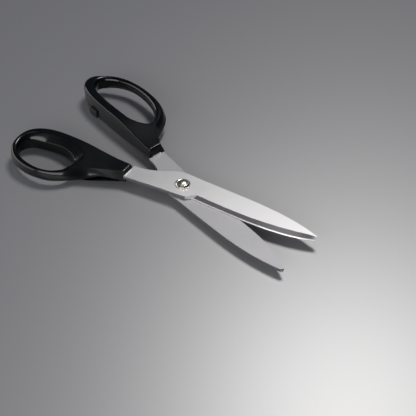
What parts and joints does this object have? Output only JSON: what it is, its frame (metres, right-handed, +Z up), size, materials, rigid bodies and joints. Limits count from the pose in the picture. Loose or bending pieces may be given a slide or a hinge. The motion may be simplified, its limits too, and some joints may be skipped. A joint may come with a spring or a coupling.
{
  "type": "fabric shears",
  "caption": "Fabric shears with two bevelled blades on a screw pivot, an oval thumb bow with a scooped rim and a longer finger bow, lying part open.",
  "frame": {"origin": "on the pivot axis, in the plane that the shears lie on, at the middle of the lower end of the pivot screw", "axes": "+X from the pivot to the tips along the middle of the opening, +Z up along the pivot axis towards the screw's head, +Y towards the finger bow's side"},
  "size_m": [0.2436, 0.1258, 0.0164],
  "materials": {
    "blade_steel": "satin ground stainless steel, brighter ground bevel along each cutting edge",
    "handle_plastic": "glossy black moulded plastic",
    "stop_rubber": "black rubber, slightly dull",
    "pivot_nickel": "polished nickel plate, slightly warm",
    "washer_nylon": "natural white nylon",
    "washer_steel": "plain spring steel"
  },
  "bodies": {
    "finger_half": {"lower_blade": "blade_steel", "finger_handle": "handle_plastic", "stop_pad": "stop_rubber", "pivot_screw": "pivot_nickel", "head_washer": "pivot_nickel", "ride_washer": "washer_nylon", "nut_washer": "washer_steel", "pivot_nut": "pivot_nickel"},
    "thumb_half": {"upper_blade": "blade_steel", "thumb_handle": "handle_plastic"}
  },
  "joints": [
    {"name": "blade_pivot", "type": "hinge", "parent": "finger_half", "child": "thumb_half", "pos_m": [0, 0, 0.0065], "axis": [0, 0, 1], "range_deg": [-22, 124]}
  ]
}
